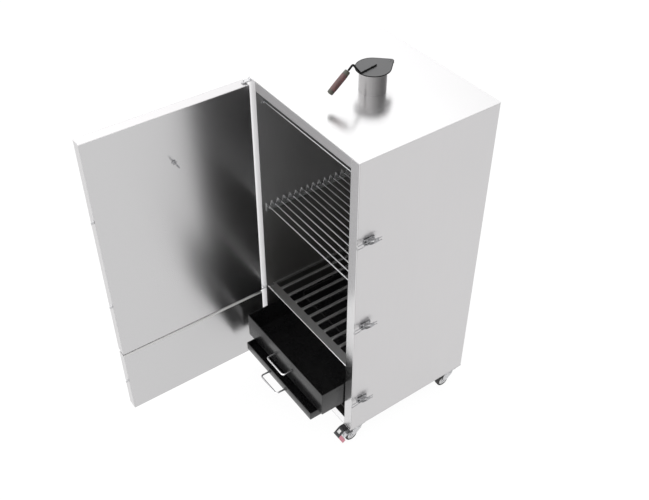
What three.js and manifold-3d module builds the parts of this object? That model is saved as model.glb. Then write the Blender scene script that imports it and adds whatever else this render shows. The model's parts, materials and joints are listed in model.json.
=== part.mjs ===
// An insulated stainless cabinet smoker on casters, modelled open: both doors swung wide, both drawers
// pulled out. Millimetres, +Z up, the front faces -Y. Everything is placed from the cabinet's front lower
// left corner on the floor, and the whole group is moved at the end so that its box stands on the origin.
import * as THREE from "three";
import { mergeVertices } from "three/addons/utils/BufferGeometryUtils.js";
import Module from "manifold-3d";

const wasm = await Module();
wasm.setup();

// ---------- driving dimensions ----------
const GAP = 0.3; // between pieces that touch
const SHEET = 2; // casing sheet
const LINER = 1.5; // liner and drawer sheet
const WIDTH = 575;
const DEPTH = 540;
const HEIGHT = 1200;
const BASE = 75; // height of the cabinet's underside above the floor
const TOP = BASE + HEIGHT;
const WALL = 38; // from outside to the chamber
const FRONT_PLATE = 3;
const CHAMBER = {
  x0: WALL,
  x1: WIDTH - WALL,
  y1: DEPTH - WALL,
  z0: BASE + 41,
  z1: TOP - WALL,
};
const CENTRE_X = WIDTH / 2;

const DOOR_OPEN = THREE.MathUtils.degToRad(-90.66);
const DOOR = { thickness: 42, width: 572.6, edge: 8, pinX: 8.4, pinY: -23.6 };
const UPPER_DOOR = { z0: BASE + 294, z1: BASE + 1186 };
const LOWER_DOOR = { z0: BASE + 1.5, z1: BASE + 284 };
const PIN_RADIUS = 4;
const PIN_REACH = 15;

const FIRE_PLATE = {
  z1: BASE + 314,
  thickness: 4,
  slots: 11,
  pitch: 45.4,
  slotWidth: 33,
  slotY0: 38,
  slotY1: 462,
};
const RACK = { z: BASE + 686, pitch: 25.4, rods: 18, firstY: 28.5, rodRadius: 2.6 };
const HANGING = { z: BASE + 1116, rods: 5, pitch: 105, firstY: 33, rodRadius: 3.5 };

const UPPER_DRAWER = {
  x0: 50,
  x1: 532,
  y0: -96,
  y1: 344,
  z0: BASE + 120,
  z1: BASE + 223,
  handleZ: BASE + 184,
};
const ASH_PAN = {
  x0: 82,
  x1: 504,
  y0: -127,
  y1: 313,
  z0: BASE + 85,
  z1: BASE + 118,
  handleZ: BASE + 102,
};
const HANDLE = { x0: 242, x1: 346, reach: 40, radius: 3.5 };

const FLUE = { y: DEPTH / 2, radius: 43.5, wall: 1.5, height: 72 };
const LID = { radius: 55, tip: 76, pivot: 65, thickness: 2.5, boltRadius: 3 };

const ELEMENT = { z: BASE + 270, radius: 4, legX: [262, 313], x0: 110, x1: 465, y0: 110, y1: 420 };
const TERMINAL_BOX = { x0: 217, x1: 358, y1: DEPTH + 35, z0: BASE + 225, z1: BASE + 335 };
const INLET = { x: 252, z: BASE + 262, width: 28, height: 21 };
const KNOB = { x: 320, z: BASE + 292, radius: 19, length: 18, shaft: 3 };

const LATCH_HEIGHTS = { top: BASE + 899, middle: BASE + 533, bottom: BASE + 156 };
const LATCH = { pivotY: 34, pivotOut: 7, bailY: 48, bailOut: 12, bailFront: -8 };

const CASTER = { insetX: 22, frontY: 42, backY: 488, trail: 26, wheelRadius: 25, wheelWidth: 22 };

// ---------- materials ----------
function finish(color, roughness, metalness) {
  return new THREE.MeshStandardMaterial({ color, roughness, metalness });
}
const BRUSHED = finish(0xd4d5d6, 0.28, 1);
const LINER_STEEL = finish(0xa9aaab, 0.35, 1);
const WOOL = finish(0xb9b29a, 0.95, 0);
const BLACK_STEEL = finish(0x1b1b1c, 0.4, 0.3);
const CHROME = finish(0xe4e5e7, 0.12, 1);
const GREY_STEEL = finish(0x8b8c8e, 0.38, 1);
const LID_STEEL = finish(0x6f7072, 0.35, 1);
const WOOD = finish(0x6a4230, 0.55, 0);
const RUBBER = finish(0x191919, 0.8, 0);
const RED = finish(0xa31f2c, 0.45, 0);
const PLASTIC = finish(0x202124, 0.5, 0);
const ELEMENT_STEEL = finish(0x4a4643, 0.6, 0.8);

// ---------- shape helpers ----------
function box(x0, x1, y0, y1, z0, z1) {
  const shape = new THREE.BoxGeometry(x1 - x0, y1 - y0, z1 - z0);
  return shape.translate((x0 + x1) / 2, (y0 + y1) / 2, (z0 + z1) / 2);
}

// A straight rod between two points, its flats turned to face the axes.
function rod(from, to, radius, sides = 8) {
  const start = new THREE.Vector3(...from);
  const way = new THREE.Vector3(...to).sub(start);
  const shape = new THREE.CylinderGeometry(radius, radius, way.length(), sides);
  shape.rotateY(Math.PI / sides).translate(0, way.length() / 2, 0);
  const turn = new THREE.Quaternion().setFromUnitVectors(new THREE.Vector3(0, 1, 0), way.normalize());
  shape.applyQuaternion(turn);
  return shape.translate(start.x, start.y, start.z);
}

// A wire's centre line: one step of the sweep for each point, mitred at every bend.
class WirePath extends THREE.Curve {
  constructor(points) {
    super();
    this.points = points;
  }
  getPointAt(u) {
    return this.points[Math.round(u * (this.points.length - 1))].clone();
  }
  getTangentAt(u) {
    const i = Math.round(u * (this.points.length - 1));
    const before = this.points[Math.max(i - 1, 0)];
    const after = this.points[Math.min(i + 1, this.points.length - 1)];
    return after.clone().sub(before).normalize();
  }
}

// Corner points replaced by short arcs of the bend radius.
function rounded(corners, bend, steps = 4) {
  const line = [corners[0]];
  for (let i = 1; i < corners.length - 1; i++) {
    const toBefore = corners[i - 1].clone().sub(corners[i]).normalize();
    const toAfter = corners[i + 1].clone().sub(corners[i]).normalize();
    const start = corners[i].clone().addScaledVector(toBefore, bend);
    const end = corners[i].clone().addScaledVector(toAfter, bend);
    const arc = new THREE.QuadraticBezierCurve3(start, corners[i], end);
    line.push(...arc.getPoints(steps));
  }
  line.push(corners.at(-1));
  return line;
}

function wire(corners, radius, bend, sides = 8) {
  const points = rounded(corners.map((c) => new THREE.Vector3(...c)), bend);
  const section = new THREE.Shape();
  for (let i = 0; i < sides; i++) {
    const angle = ((i + 0.5) * 2 * Math.PI) / sides;
    section[i ? "lineTo" : "moveTo"](radius * Math.cos(angle), radius * Math.sin(angle));
  }
  const options = { steps: points.length - 1, extrudePath: new WirePath(points), bevelEnabled: false };
  return new THREE.ExtrudeGeometry(section, options);
}

// An outline extruded along +Z from z0 to z1.
function slab(outline, z0, z1, curveSegments = 6) {
  const drawn = outline instanceof THREE.Shape;
  const shape = drawn ? outline : new THREE.Shape(outline.map((p) => new THREE.Vector2(...p)));
  const options = { depth: z1 - z0, bevelEnabled: false, curveSegments };
  return new THREE.ExtrudeGeometry(shape, options).translate(0, 0, z0);
}

// An outline in the YZ plane extruded along +X, and one in the XZ plane extruded along +Y.
const yzToX = new THREE.Matrix4().set(0, 0, 1, 0, 1, 0, 0, 0, 0, 1, 0, 0, 0, 0, 0, 1);
const zxToY = yzToX.clone().invert();
const acrossX = (outline, x0, x1) => slab(outline, x0, x1).applyMatrix4(yzToX);
const acrossY = (outline, y0, y1) => slab(outline.map(([x, z]) => [z, x]), y0, y1).applyMatrix4(zxToY);

function tube(outer, inner, z0, z1, sides = 24) {
  const ring = [[inner, z0], [outer, z0], [outer, z1], [inner, z1], [inner, z0]];
  return new THREE.LatheGeometry(ring.map((p) => new THREE.Vector2(...p)), sides).rotateX(Math.PI / 2);
}

// ---------- booleans ----------
function solid(geometry) {
  const bare = geometry.clone();
  bare.deleteAttribute("normal");
  bare.deleteAttribute("uv");
  const merged = mergeVertices(bare, 1e-4);
  const vertProperties = new Float32Array(merged.attributes.position.array);
  const triVerts = new Uint32Array(merged.index.array);
  return new wasm.Manifold(new wasm.Mesh({ numProp: 3, vertProperties, triVerts }));
}

function geometryOf(manifold) {
  const mesh = manifold.getMesh();
  const geometry = new THREE.BufferGeometry();
  geometry.setAttribute("position", new THREE.BufferAttribute(mesh.vertProperties, 3));
  geometry.setIndex(new THREE.BufferAttribute(mesh.triVerts, 1));
  geometry.computeVertexNormals();
  return geometry;
}

const joined = (first, ...rest) => geometryOf(rest.reduce((sum, piece) => sum.add(solid(piece)), solid(first)));
const cut = (body, ...tools) => geometryOf(tools.reduce((left, tool) => left.subtract(solid(tool)), solid(body)));

// ---------- scene graph ----------
const smoker = new THREE.Group();

function part(name, geometry, material, parent = smoker) {
  const mesh = new THREE.Mesh(geometry, material);
  mesh.name = name;
  parent.add(mesh);
  return mesh;
}

// ---------- cabinet ----------
const OVER = 5; // how far a cutting tool runs past the face it cuts
const CLEARANCE = 1.5; // round a pipe or a leg that passes through sheet

function flueHole(z0, z1) {
  return rod([CENTRE_X, FLUE.y, z0], [CENTRE_X, FLUE.y, z1], FLUE.radius + CLEARANCE, 24);
}

function elementHoles(y0, y1) {
  const { legX, z, radius } = ELEMENT;
  return legX.map((x) => rod([x, y0, z], [x, y1, z], radius + CLEARANCE));
}

function addCabinet() {
  const shellZ0 = BASE + FRONT_PLATE + GAP;
  const shellZ1 = TOP - FRONT_PLATE - GAP;
  const wallY0 = FRONT_PLATE + GAP;

  const ring = cut(
    box(0, WIDTH, 0, FRONT_PLATE, shellZ0, shellZ1),
    box(CHAMBER.x0, CHAMBER.x1, -OVER, FRONT_PLATE + OVER, CHAMBER.z0, CHAMBER.z1),
  );
  part("front_frame", ring, BRUSHED);

  const wrap = cut(
    box(0, WIDTH, wallY0, DEPTH, shellZ0, shellZ1),
    box(SHEET, WIDTH - SHEET, -OVER, DEPTH - SHEET, shellZ0 - OVER, shellZ1 + OVER),
    ...elementHoles(DEPTH - SHEET - OVER, DEPTH + OVER),
  );
  part("outer_wrap", wrap, BRUSHED);

  part("base_panel", box(0, WIDTH, 0, DEPTH, BASE, BASE + FRONT_PLATE), BRUSHED);
  const lid = box(0, WIDTH, 0, DEPTH, TOP - FRONT_PLATE, TOP);
  part("top_panel", cut(lid, flueHole(TOP - FRONT_PLATE - OVER, TOP + OVER)), BRUSHED);

  const { x0, x1, y1, z0, z1 } = CHAMBER;
  const liner = cut(
    box(x0 - LINER, x1 + LINER, wallY0, y1 + LINER, z0 - LINER, z1 + LINER),
    box(x0, x1, wallY0 - OVER, y1, z0, z1),
    flueHole(z1 - OVER, z1 + LINER + OVER),
    ...elementHoles(y1 - OVER, y1 + LINER + OVER),
  );
  part("inner_liner", liner, LINER_STEEL);

  const slack = LINER + 0.5;
  const wool = cut(
    box(SHEET + 0.5, WIDTH - SHEET - 0.5, wallY0 + GAP, DEPTH - SHEET - 0.5, shellZ0 + 0.5, shellZ1 - 0.5),
    box(x0 - slack, x1 + slack, wallY0 - OVER, y1 + slack, z0 - slack, z1 + slack),
    flueHole(z1, TOP),
    ...elementHoles(y1, DEPTH),
  );
  part("insulation", wool, WOOL);
}

// ---------- inside the chamber ----------
function addRacks() {
  const { x0, x1 } = CHAMBER;

  // Two notched strips: a V under each rod, its flanks standing up beside the rod.
  const half = RACK.pitch / 2;
  const valley = RACK.z - RACK.rodRadius - 1.4;
  const peak = RACK.z + 20;
  const outline = [[RACK.firstY - half, valley - 16]];
  outline.push([RACK.firstY + RACK.pitch * RACK.rods - half, valley - 16]);
  for (let i = RACK.rods - 1; i >= 0; i--) {
    const y = RACK.firstY + i * RACK.pitch;
    outline.push([y + half, peak], [y + 3, valley], [y - 3, valley]);
  }
  outline.push([RACK.firstY - half, peak]);
  part("rack_comb_left", acrossX(outline, x0 + GAP, x0 + GAP + 2), LINER_STEEL);
  part("rack_comb_right", acrossX(outline, x1 - GAP - 2, x1 - GAP), LINER_STEEL);

  // The rods lie in the notches and two thin bars below them hold them at their pitch.
  const rods = [];
  for (let i = 0; i < RACK.rods; i++) {
    const y = RACK.firstY + i * RACK.pitch;
    rods.push(rod([x0 + 1, y, RACK.z], [x1 - 1, y, RACK.z], RACK.rodRadius, 6));
  }
  const lastY = RACK.firstY + (RACK.rods - 1) * RACK.pitch;
  for (const x of [x0 + 8, x1 - 8]) {
    rods.push(box(x - 2, x + 2, RACK.firstY - 4, lastY + 4, RACK.z - 6, RACK.z - 1));
  }
  part("food_rack", joined(...rods), CHROME);

  const bars = [];
  for (let i = 0; i < HANGING.rods; i++) {
    const y = HANGING.firstY + i * HANGING.pitch;
    bars.push(rod([x0 + 3, y, HANGING.z], [x1 - 3, y, HANGING.z], HANGING.rodRadius));
  }
  const railEnd = HANGING.firstY + (HANGING.rods - 1) * HANGING.pitch + 12;
  for (const x of [x0 + GAP, x1 - GAP - 5]) {
    bars.push(box(x, x + 5, HANGING.firstY - 12, railEnd, HANGING.z - 8, HANGING.z + 3));
  }
  part("hanging_rack", joined(...bars), CHROME);
}

function addFirePlate() {
  const { x0, x1, y1 } = CHAMBER;
  const { z1, thickness, slots, pitch, slotWidth, slotY0, slotY1 } = FIRE_PLATE;
  const z0 = z1 - thickness;
  const tools = [];
  for (let i = 0; i < slots; i++) {
    const x = CENTRE_X + (i - (slots - 1) / 2) * pitch;
    const r = slotWidth / 2;
    const chamfer = 5;
    const outline = [
      [x - r, slotY0 + chamfer],
      [x - r + chamfer, slotY0],
      [x + r - chamfer, slotY0],
      [x + r, slotY0 + chamfer],
      [x + r, slotY1 - chamfer],
      [x + r - chamfer, slotY1],
      [x - r + chamfer, slotY1],
      [x - r, slotY1 - chamfer],
    ];
    tools.push(slab(outline, z0 - OVER, z1 + OVER));
  }
  part("fire_plate", cut(box(x0 + 1, x1 - 1, 4, y1 - 2, z0, z1), ...tools), LINER_STEEL);
}

function addDrawers() {
  const { x0, x1, y1 } = CHAMBER;

  // One runner on each wall, with a ledge each for the ash pan, the fuel drawer and the fire plate.
  const web = 2;
  const panZ = ASH_PAN.z0 - 1;
  const drawerZ = UPPER_DRAWER.z0 - 1;
  const plateZ = FIRE_PLATE.z1 - FIRE_PLATE.thickness - GAP;
  const panLedge = ASH_PAN.x0 + 20 - x0;
  const drawerLedge = UPPER_DRAWER.x0 + 18 - x0;
  const plateLedge = 11;
  const profile = [
    [GAP, panZ - web],
    [panLedge, panZ - web],
    [panLedge, panZ],
    [GAP + web, panZ],
    [GAP + web, drawerZ - web],
    [drawerLedge, drawerZ - web],
    [drawerLedge, drawerZ],
    [GAP + web, drawerZ],
    [GAP + web, plateZ - web],
    [plateLedge, plateZ - web],
    [plateLedge, plateZ],
    [GAP, plateZ],
  ];
  part("runner_left", acrossY(profile.map(([x, z]) => [x0 + x, z]), 6, y1 - 4), LINER_STEEL);
  part("runner_right", acrossY(profile.map(([x, z]) => [x1 - x, z]), 6, y1 - 4), LINER_STEEL);

  for (const [name, d] of [["fuel_drawer", UPPER_DRAWER], ["ash_pan", ASH_PAN]]) {
    const hollow = box(d.x0 + LINER, d.x1 - LINER, d.y0 + LINER, d.y1 - LINER, d.z0 + LINER, d.z1 + OVER);
    part(name, cut(box(d.x0, d.x1, d.y0, d.y1, d.z0, d.z1), hollow), BLACK_STEEL);
    const front = d.y0 - GAP;
    const corners = [
      [HANDLE.x0, front, d.handleZ],
      [HANDLE.x0, front - HANDLE.reach, d.handleZ],
      [HANDLE.x1, front - HANDLE.reach, d.handleZ],
      [HANDLE.x1, front, d.handleZ],
    ];
    part(`${name}_handle`, wire(corners, HANDLE.radius, 12), CHROME);
  }
}

// ---------- heating ----------
function addHeating() {
  const { z, radius, legX, x0, x1, y0, y1 } = ELEMENT;
  const end = DEPTH + 12;
  const corners = [
    [legX[0], end, z],
    [legX[0], y1, z],
    [x0, y1, z],
    [x0, y0, z],
    [x1, y0, z],
    [x1, y1, z],
    [legX[1], y1, z],
    [legX[1], end, z],
  ];
  part("heating_element", wire(corners, radius, 24), ELEMENT_STEEL);

  const b = TERMINAL_BOX;
  const w = INLET.width / 2;
  const h = INLET.height / 2;
  const housing = cut(
    box(b.x0, b.x1, DEPTH + GAP, b.y1, b.z0, b.z1),
    box(b.x0 + SHEET, b.x1 - SHEET, DEPTH - OVER, b.y1 - SHEET, b.z0 + SHEET, b.z1 - SHEET),
    box(
      INLET.x - w - GAP, INLET.x + w + GAP,
      b.y1 - OVER, b.y1 + OVER,
      INLET.z - h - GAP, INLET.z + h + GAP,
    ),
    rod([KNOB.x, b.y1 - OVER, KNOB.z], [KNOB.x, b.y1 + OVER, KNOB.z], KNOB.shaft + 1),
  );
  part("terminal_box", housing, BRUSHED);

  const inletShape = cut(
    joined(
      box(INLET.x - w, INLET.x + w, b.y1 - 20, b.y1 + GAP + 1, INLET.z - h, INLET.z + h),
      box(INLET.x - w - 9, INLET.x + w + 9, b.y1 + GAP, b.y1 + GAP + 2.5, INLET.z - h - 3, INLET.z + h + 3),
    ),
    box(INLET.x - w + 3, INLET.x + w - 3, b.y1 - 14, b.y1 + OVER, INLET.z - h + 3, INLET.z + h - 3),
  );
  part("power_inlet", inletShape, PLASTIC);

  const knobY = b.y1 + 0.6;
  const knob = joined(
    rod([KNOB.x, b.y1 - 12, KNOB.z], [KNOB.x, knobY + 2, KNOB.z], KNOB.shaft),
    rod([KNOB.x, knobY, KNOB.z], [KNOB.x, knobY + KNOB.length, KNOB.z], KNOB.radius, 20),
  );
  part("thermostat_knob", knob, PLASTIC);
}

// ---------- doors: drawn shut about their pin, then swung open ----------
function addDoor(name, { z0, z1 }, probe) {
  const door = new THREE.Group();
  door.position.set(DOOR.pinX, DOOR.pinY, 0);
  door.rotation.z = DOOR_OPEN;
  smoker.add(door);

  const x0 = -DOOR.edge;
  const x1 = DOOR.width - DOOR.edge;
  const half = DOOR.thickness / 2;
  const outer = -half + 0.6;
  const inner = half + 0.6;
  const panelY = inner - SHEET;

  const probeHole = [];
  if (probe) {
    probeHole.push(rod([probe.x, outer - OVER, probe.z], [probe.x, inner + OVER, probe.z], 4.5));
  }
  const lowerPinHole = rod([0, 0, z0 - OVER], [0, 0, z0 + SHEET + OVER], PIN_RADIUS + 1);
  const upperPinHole = rod([0, 0, z1 - SHEET - OVER], [0, 0, z1 + OVER], PIN_RADIUS + 1);
  const pan = cut(
    box(x0, x1, outer, panelY - GAP, z0, z1),
    box(x0 + SHEET, x1 - SHEET, outer + SHEET, panelY + OVER, z0 + SHEET, z1 - SHEET),
    lowerPinHole,
    upperPinHole,
    ...probeHole,
  );
  part(`${name}_skin`, pan, BRUSHED, door);
  part(`${name}_inner_panel`, cut(box(x0, x1, panelY, inner, z0, z1), ...probeHole), BRUSHED, door);
  const core = box(
    PIN_RADIUS + 8, x1 - SHEET - 1,
    outer + SHEET + 1, panelY - GAP - 1,
    z0 + SHEET + 1, z1 - SHEET - 1,
  );
  part(`${name}_insulation`, probe ? cut(core, ...probeHole) : core, WOOL, door);
  return { door, edgeX: x1, outer, inner };
}

function addDoors() {
  const probe = { x: DOOR.width / 2 - DOOR.edge, z: BASE + 1008 };
  const upper = addDoor("upper_door", UPPER_DOOR, probe);
  const lower = addDoor("lower_door", LOWER_DOOR);

  const dialBack = upper.outer - GAP;
  const along = (y0, y1, radius, sides) => rod([probe.x, y0, probe.z], [probe.x, y1, probe.z], radius, sides);
  part("thermometer_dial", along(dialBack - 18, dialBack, 38, 24), CHROME, upper.door);
  part("thermometer_probe", along(dialBack + 0.6, upper.inner + 53, 3), CHROME, upper.door);

  // Lipped keepers on the doors' free edges, one beside each latch: a bail's bar drops in front of the lip.
  const hook = [[GAP, 6], [GAP + 2.5, 6], [GAP + 2.5, 17.6], [11.8, 17.6], [11.8, 20.1], [GAP, 20.1]];
  for (const [level, z] of Object.entries(LATCH_HEIGHTS)) {
    const { door, edgeX } = level === "bottom" ? lower : upper;
    const outline = hook.map(([out, y]) => [edgeX + out, y]);
    part(`keeper_${level}`, slab(outline, z - 5, z + 5), GREY_STEEL, door);
  }
}

function addHingeBrackets() {
  const { pinX, pinY } = DOOR;
  const tab = (z0, z1, y1 = -GAP) => box(pinX - 12, pinX + 24, pinY - 12, y1, z0, z1);
  const pin = (z0, z1) => rod([pinX, pinY, z0], [pinX, pinY, z1], PIN_RADIUS);
  const plate = 4;

  const topZ = UPPER_DOOR.z1 + 2.5;
  const topBracket = joined(
    tab(topZ, topZ + plate),
    box(pinX - 8, pinX + 24, -GAP - 3, -GAP, topZ, TOP - 4),
    pin(UPPER_DOOR.z1 - PIN_REACH, topZ + plate),
  );
  part("hinge_bracket_top", topBracket, BRUSHED);

  const midZ = (LOWER_DOOR.z1 + UPPER_DOOR.z0 - plate) / 2;
  const midPin = pin(LOWER_DOOR.z1 - PIN_REACH, UPPER_DOOR.z0 + PIN_REACH);
  part("hinge_bracket_middle", joined(tab(midZ, midZ + plate), midPin), BRUSHED);

  const lowZ = BASE - GAP - plate;
  const lowPin = pin(lowZ, LOWER_DOOR.z0 + PIN_REACH);
  part("hinge_bracket_bottom", joined(tab(lowZ, lowZ + plate, 12), lowPin), BRUSHED);
}

// ---------- draw latches on the right side ----------
function addLatch(level, z) {
  const group = new THREE.Group();
  group.position.set(WIDTH, 0, z);
  smoker.add(group);
  const { pivotY, pivotOut, bailY, bailOut, bailFront } = LATCH;
  const pivot = (radius, reach) => rod([pivotOut, pivotY, -reach], [pivotOut, pivotY, reach], radius);

  const ear = [
    [GAP, pivotY - 8],
    [pivotOut + 4, pivotY - 5],
    [pivotOut + 4, pivotY + 5],
    [GAP, pivotY + 16],
  ];
  const ears = [slab(ear, -10.5, -9), slab(ear, 9, 10.5)];
  const base = joined(box(GAP, GAP + 2, 24, 67, -10.5, 10.5), ...ears, pivot(2, 10));
  part(`latch_base_${level}`, base, GREY_STEEL, group);

  const cheek = [
    [pivotOut - 3, pivotY - 3],
    [pivotOut + 2.4, pivotY - 3.6],
    [bailOut + 5, pivotY + 10],
    [pivotOut + 10, bailY + 12],
    [pivotOut + 8, bailY + 12],
    [bailOut - 4, bailY + 4],
    [pivotOut - 3.5, pivotY + 6],
  ];
  const cheekHoles = (z0, z1) => [
    rod([pivotOut, pivotY, z0 - 1], [pivotOut, pivotY, z1 + 1], 2.7),
    rod([bailOut, bailY, z0 - 1], [bailOut, bailY, z1 + 1], 2.1),
  ];
  const sides = [[-8.5, -6.5], [6.5, 8.5]].map(([z0, z1]) => cut(slab(cheek, z0, z1), ...cheekHoles(z0, z1)));
  const blade = box(pivotOut + 8, pivotOut + 10, pivotY + 20, pivotY + 38, -8.5, 8.5);
  const prong = (side) => rod([pivotOut + 9, pivotY + 37, side], [pivotOut + 9, pivotY + 50, side], 1);
  part(`latch_lever_${level}`, joined(blade, ...sides, prong(-5.5), prong(5.5)), GREY_STEEL, group);

  const out = bailOut;
  const corners = [
    [out, bailY, 8.1],
    [out, bailY, 4],
    [out, 24, 4],
    [out, 12, 7],
    [out, bailFront, 7],
    [out, bailFront, -7],
    [out, 12, -7],
    [out, 24, -4],
    [out, bailY, -4],
    [out, bailY, -8.1],
  ];
  part(`latch_bail_${level}`, wire(corners, 1.5, 2.5, 6), CHROME, group);
}

// ---------- chimney ----------
function addChimney() {
  const top = TOP + FLUE.height;
  const chimney = new THREE.Group();
  chimney.position.set(CENTRE_X, FLUE.y, top);
  smoker.add(chimney);

  part("flue_pipe", tube(FLUE.radius, FLUE.radius - FLUE.wall, CHAMBER.z1 - top, 0), BRUSHED, chimney);

  // An angle welded to the back of the pipe carries the lid's pivot.
  const shelfZ = -1.5;
  const boltHole = rod([0, LID.pivot, -OVER * 2], [0, LID.pivot, OVER * 2], LID.boltRadius + 0.6);
  const angle = joined(
    box(-9, 9, FLUE.radius + GAP, LID.tip, shelfZ - 3, shelfZ),
    box(-9, 9, FLUE.radius + GAP, FLUE.radius + 3, shelfZ - 20, shelfZ),
  );
  part("lid_bracket", cut(angle, boltHole), BRUSHED, chimney);

  const lidZ = 0.6;
  const lidTop = lidZ + LID.thickness;
  const tangent = Math.acos(LID.radius / (LID.tip + 8));
  const start = Math.PI / 2 + tangent;
  const outline = new THREE.Shape();
  outline.absarc(0, 0, LID.radius, start, start + 2 * Math.PI - 2 * tangent, false);
  outline.lineTo(5, LID.tip);
  outline.lineTo(-5, LID.tip);
  part("flue_lid", cut(slab(outline, lidZ, lidTop, 20), boltHole), LID_STEEL, chimney);

  const bolt = joined(
    rod([0, LID.pivot, shelfZ - 6], [0, LID.pivot, lidTop + 1], LID.boltRadius),
    rod([0, LID.pivot, lidTop + GAP], [0, LID.pivot, lidTop + 1.8], 4.6, 12),
    rod([0, LID.pivot, shelfZ - 6.5], [0, LID.pivot, shelfZ - 3 - GAP], 5.5, 6),
  );
  part("lid_pivot_bolt", bolt, GREY_STEEL, chimney);

  // The hand-bent rod runs a little aside of the lid's middle line, and the grip comes back to it.
  const rodZ = lidTop + 3 + GAP;
  const bar = [[-2, 15, rodZ], [9, -56, rodZ], [10, -86, rodZ + 39], [8.6, -102, rodZ + 23]];
  part("lid_handle_rod", wire(bar, 3, 5), BLACK_STEEL, chimney);
  part("lid_grip", rod([8.5, -102.4, rodZ + 22.6], [2, -165.4, rodZ - 36.5], 10.5, 16), WOOD, chimney);
}

// ---------- casters ----------
function addCaster(corner, x, y, braked) {
  const caster = new THREE.Group();
  caster.position.set(x, y, 0);
  smoker.add(caster);
  const { trail, wheelRadius, wheelWidth } = CASTER;
  const axleY = -trail;
  const halfWidth = wheelWidth / 2;
  const legIn = halfWidth + 1.2;
  const legOut = legIn + 2.5;
  const headZ = 54;

  const leg = [
    [18, headZ + 4],
    [-24, headZ + 4],
    [axleY - 8, wheelRadius + 4],
    [axleY - 5, wheelRadius - 7],
    [axleY + 6, wheelRadius - 7],
    [14, headZ - 8],
  ];
  const fork = joined(
    rod([0, 0, headZ], [0, 0, BASE - 4.5], 19, 20),
    box(-legOut, legOut, -24, 18, headZ, headZ + 4),
    acrossX(leg, -legOut, -legIn),
    acrossX(leg, legIn, legOut),
    rod([-legOut - 2, axleY, wheelRadius], [legOut + 2, axleY, wheelRadius], 4),
  );
  part(`caster_fork_${corner}`, fork, GREY_STEEL, caster);

  const sides = 24;
  const wheel = tube(wheelRadius / Math.cos(Math.PI / sides), 5, -halfWidth, halfWidth, sides);
  wheel.rotateZ(Math.PI / sides).rotateY(Math.PI / 2);
  part(`caster_wheel_${corner}`, wheel.translate(0, axleY, wheelRadius), RUBBER, caster);

  if (!braked) return;
  const hingeY = -26.2;
  const bendY = axleY - wheelRadius - 2;
  const pedal = [
    [hingeY, headZ - 0.5],
    [hingeY, headZ + 3],
    [bendY, headZ + 3],
    [bendY - 18, headZ - 12],
    [bendY - 16, headZ - 15],
    [bendY - 1, headZ - 0.5],
  ];
  part(`brake_pedal_${corner}`, acrossX(pedal, -22, 22), RED, caster);
}

addCabinet();
addRacks();
addFirePlate();
addDrawers();
addHeating();
addDoors();
addHingeBrackets();
for (const [level, z] of Object.entries(LATCH_HEIGHTS)) addLatch(level, z);
addChimney();
addCaster("front_left", CASTER.insetX, CASTER.frontY, true);
addCaster("front_right", WIDTH - CASTER.insetX, CASTER.frontY, true);
addCaster("back_left", CASTER.insetX, CASTER.backY, false);
addCaster("back_right", WIDTH - CASTER.insetX, CASTER.backY, false);

// Stand the whole object centred over the origin.
smoker.updateMatrixWorld(true);
const extent = new THREE.Box3().setFromObject(smoker, true);
const middle = extent.getCenter(new THREE.Vector3());
smoker.position.set(-middle.x, -middle.y, -extent.min.z);

export default smoker;
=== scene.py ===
"""Looks for an insulated stainless cabinet smoker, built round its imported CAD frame.

Pieces are drawn in millimetres from the cabinet's front lower left corner on the floor: +X right, +Y to the
back, +Z up. A door's pieces are drawn as if it were shut, from its hinge pin. Places and sizes come from the
CAD nodes' boxes, so they follow the frame.
"""

import json
import math

import bmesh
import bpy
from mathutils import Matrix, Vector


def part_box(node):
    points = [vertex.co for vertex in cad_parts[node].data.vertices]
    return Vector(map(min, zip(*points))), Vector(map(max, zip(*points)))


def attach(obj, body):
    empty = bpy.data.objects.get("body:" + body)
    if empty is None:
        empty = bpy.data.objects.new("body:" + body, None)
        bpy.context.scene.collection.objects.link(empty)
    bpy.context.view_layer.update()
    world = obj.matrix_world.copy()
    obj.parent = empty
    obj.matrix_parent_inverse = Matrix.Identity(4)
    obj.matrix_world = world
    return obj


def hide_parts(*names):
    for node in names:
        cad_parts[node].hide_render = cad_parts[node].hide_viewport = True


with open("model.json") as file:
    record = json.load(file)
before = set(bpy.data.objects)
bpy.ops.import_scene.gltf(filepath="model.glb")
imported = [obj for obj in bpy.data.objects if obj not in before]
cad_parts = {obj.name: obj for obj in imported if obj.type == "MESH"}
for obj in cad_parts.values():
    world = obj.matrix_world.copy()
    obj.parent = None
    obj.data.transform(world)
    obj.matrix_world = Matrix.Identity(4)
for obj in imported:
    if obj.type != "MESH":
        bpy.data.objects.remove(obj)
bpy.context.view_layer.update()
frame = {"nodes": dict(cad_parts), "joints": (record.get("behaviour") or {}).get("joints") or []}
NODES = frame["nodes"]
JOINTS = {joint["name"]: joint for joint in frame["joints"]}

# ---------- drawing frames ----------
MM = Matrix.Scale(0.001, 4)
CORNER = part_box("base_panel")[0]
CABINET = Matrix.Translation((CORNER.x, CORNER.y, 0)) @ MM
PIN = Vector(JOINTS["upper_door_hinge"]["pos_m"])
DOOR_OPEN = -math.radians(JOINTS["upper_door_hinge"]["range_deg"][1])
DOOR = Matrix.Translation((PIN.x, PIN.y, 0)) @ Matrix.Rotation(DOOR_OPEN, 4, "Z") @ MM


def extent(node, space=CABINET):
    """The lowest and highest corners of a CAD node, in a drawing frame's millimetres."""
    back = space.inverted()
    points = [back @ v.co for v in NODES[node].data.vertices]
    low = Vector(min(p[i] for p in points) for i in range(3))
    high = Vector(max(p[i] for p in points) for i in range(3))
    return low, high


def middle(low, high):
    return (low + high) / 2


# ---------- shader graphs ----------
def new_material(name):
    material = bpy.data.materials.new(name)
    material.use_nodes = True
    tree = material.node_tree
    return material, tree, tree.nodes["Principled BSDF"]


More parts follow.
